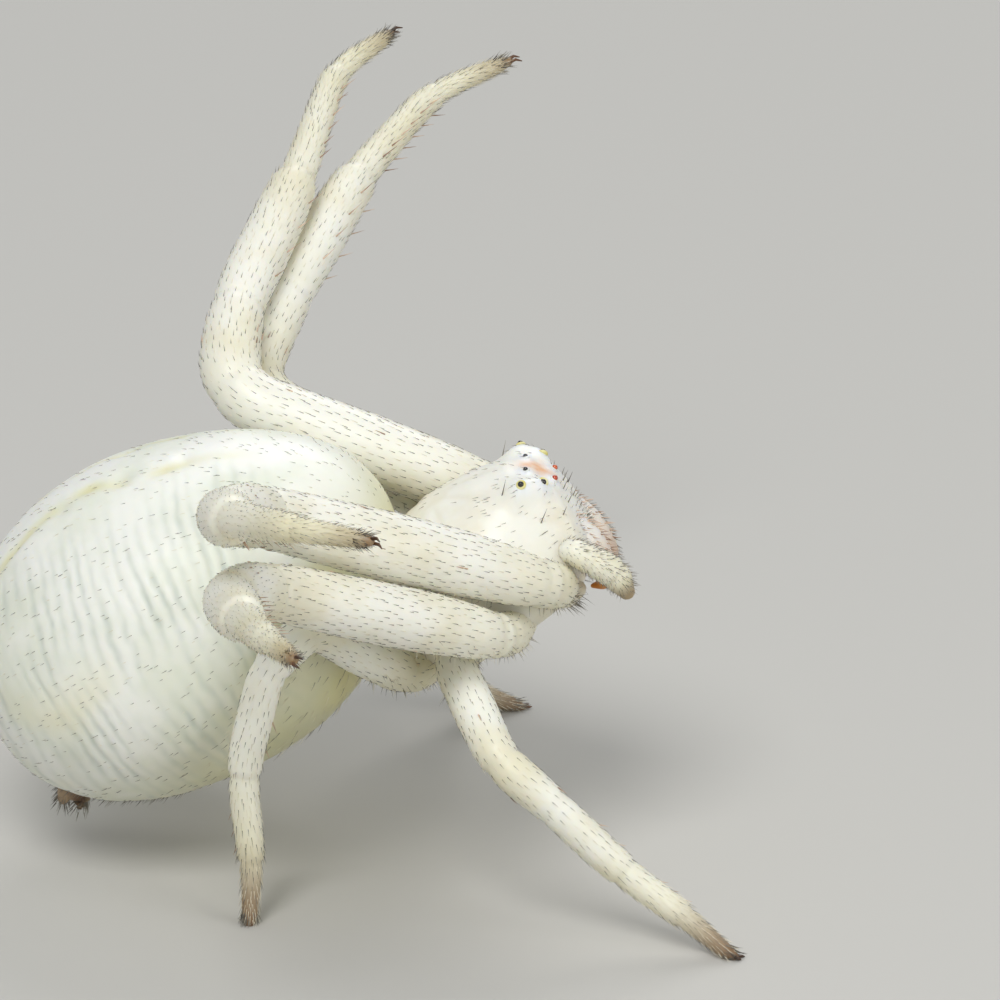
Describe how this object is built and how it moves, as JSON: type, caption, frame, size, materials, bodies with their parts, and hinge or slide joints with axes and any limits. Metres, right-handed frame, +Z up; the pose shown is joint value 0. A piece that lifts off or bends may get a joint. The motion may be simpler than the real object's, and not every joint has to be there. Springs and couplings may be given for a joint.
{
  "type": "crab spider",
  "caption": "Life-size still model of a white crab spider, rear legs standing and front legs raised to strike.",
  "frame": {"origin": "on the floor, under the middle of the animal's bounds", "axes": "+X towards the head, +Y towards the spider's left, along the spread of the raised legs, +Z up"},
  "size_m": [0.012, 0.0228, 0.0105],
  "materials": {
    "carapace": "waxy white cuticle with fine dark setae",
    "sternum": "waxy yellowish white cuticle",
    "abdomen": "soft white skin, faintly creased, yellow green below",
    "leg": "waxy translucent white cuticle",
    "foot": "waxy cuticle browning to the claws",
    "chelicera": "waxy white cuticle with stout bristles",
    "palp": "waxy white cuticle with dark bristles",
    "mouth": "yellowish cuticle",
    "horn": "glossy orange brown horn",
    "eye": "glossy black lens",
    "spinneret": "reddish brown cuticle"
  },
  "bodies": {
    "root": {"leg_right_1_coxa": "leg", "leg_right_1_femur": "leg", "leg_right_1_tibia": "leg", "leg_right_1_foot": "foot", "leg_right_2_coxa": "leg", "leg_right_2_femur": "leg", "leg_right_2_tibia": "leg", "leg_right_2_foot": "foot", "leg_right_3_coxa": "leg", "leg_right_3_femur": "leg", "leg_right_3_tibia": "leg", "leg_right_3_foot": "foot", "leg_right_4_coxa": "leg", "leg_right_4_femur": "leg", "leg_right_4_tibia": "leg", "leg_right_4_foot": "foot", "leg_left_1_coxa": "leg", "leg_left_1_femur": "leg", "leg_left_1_tibia": "leg", "leg_left_1_foot": "foot", "leg_left_2_coxa": "leg", "leg_left_2_femur": "leg", "leg_left_2_tibia": "leg", "leg_left_2_foot": "foot", "leg_left_3_coxa": "leg", "leg_left_3_femur": "leg", "leg_left_3_tibia": "leg", "leg_left_3_foot": "foot", "leg_left_4_coxa": "leg", "leg_left_4_femur": "leg", "leg_left_4_tibia": "leg", "leg_left_4_foot": "foot", "chelicera_right": "chelicera", "fang_right": "horn", "palp_right": "palp", "eye_anterior_median_right": "eye", "eye_anterior_lateral_right": "eye", "eye_posterior_median_right": "eye", "eye_posterior_lateral_right": "eye", "chelicera_left": "chelicera", "fang_left": "horn", "palp_left": "palp", "eye_anterior_median_left": "eye", "eye_anterior_lateral_left": "eye", "eye_posterior_median_left": "eye", "eye_posterior_lateral_left": "eye", "mouthparts": "mouth", "carapace": "carapace", "sternum": "sternum", "abdomen": "abdomen", "spinnerets": "spinneret"}
  },
  "joints": []
}
